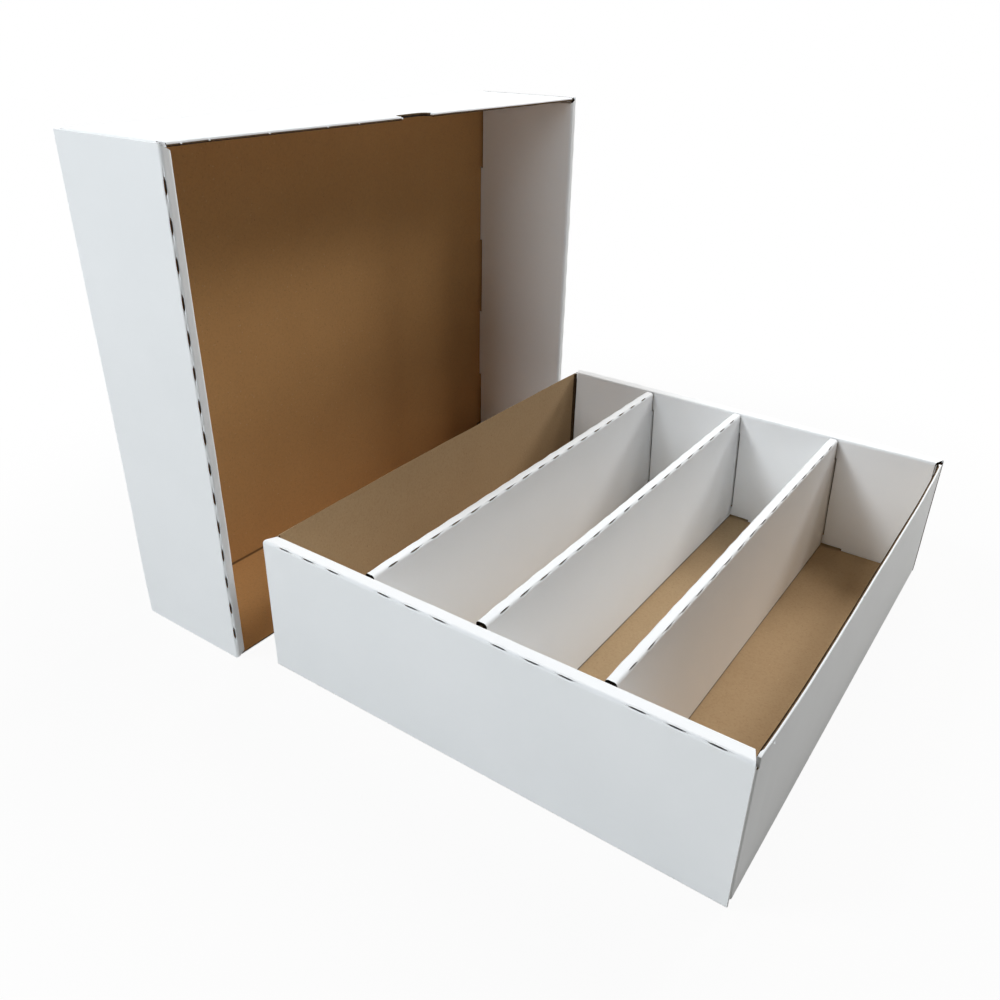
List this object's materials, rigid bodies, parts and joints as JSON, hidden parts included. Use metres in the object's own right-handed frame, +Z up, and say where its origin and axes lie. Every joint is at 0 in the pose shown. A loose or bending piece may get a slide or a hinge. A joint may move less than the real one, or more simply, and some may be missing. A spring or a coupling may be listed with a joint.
{
  "type": "trading card storage box",
  "caption": "Low corrugated storage box with rows for trading cards, parted by folded dividers, with its deep lid standing on its side next to it.",
  "frame": {"origin": "on the ground, under the middle of the box that encloses the tray and the standing lid", "axes": "+X from the back of the standing lid across the rows of the tray, +Y along the rows away from the front wall, +Z up"},
  "size_m": [0.4304, 0.3984, 0.3174],
  "materials": {
    "board": "white-faced corrugated board outside, plain brown kraft inside",
    "divider_board": "white-faced corrugated board"
  },
  "bodies": {
    "root": {"tray": "board", "divider_left": "divider_board", "divider_middle": "divider_board", "divider_right": "divider_board", "lid": "board"}
  },
  "joints": []
}
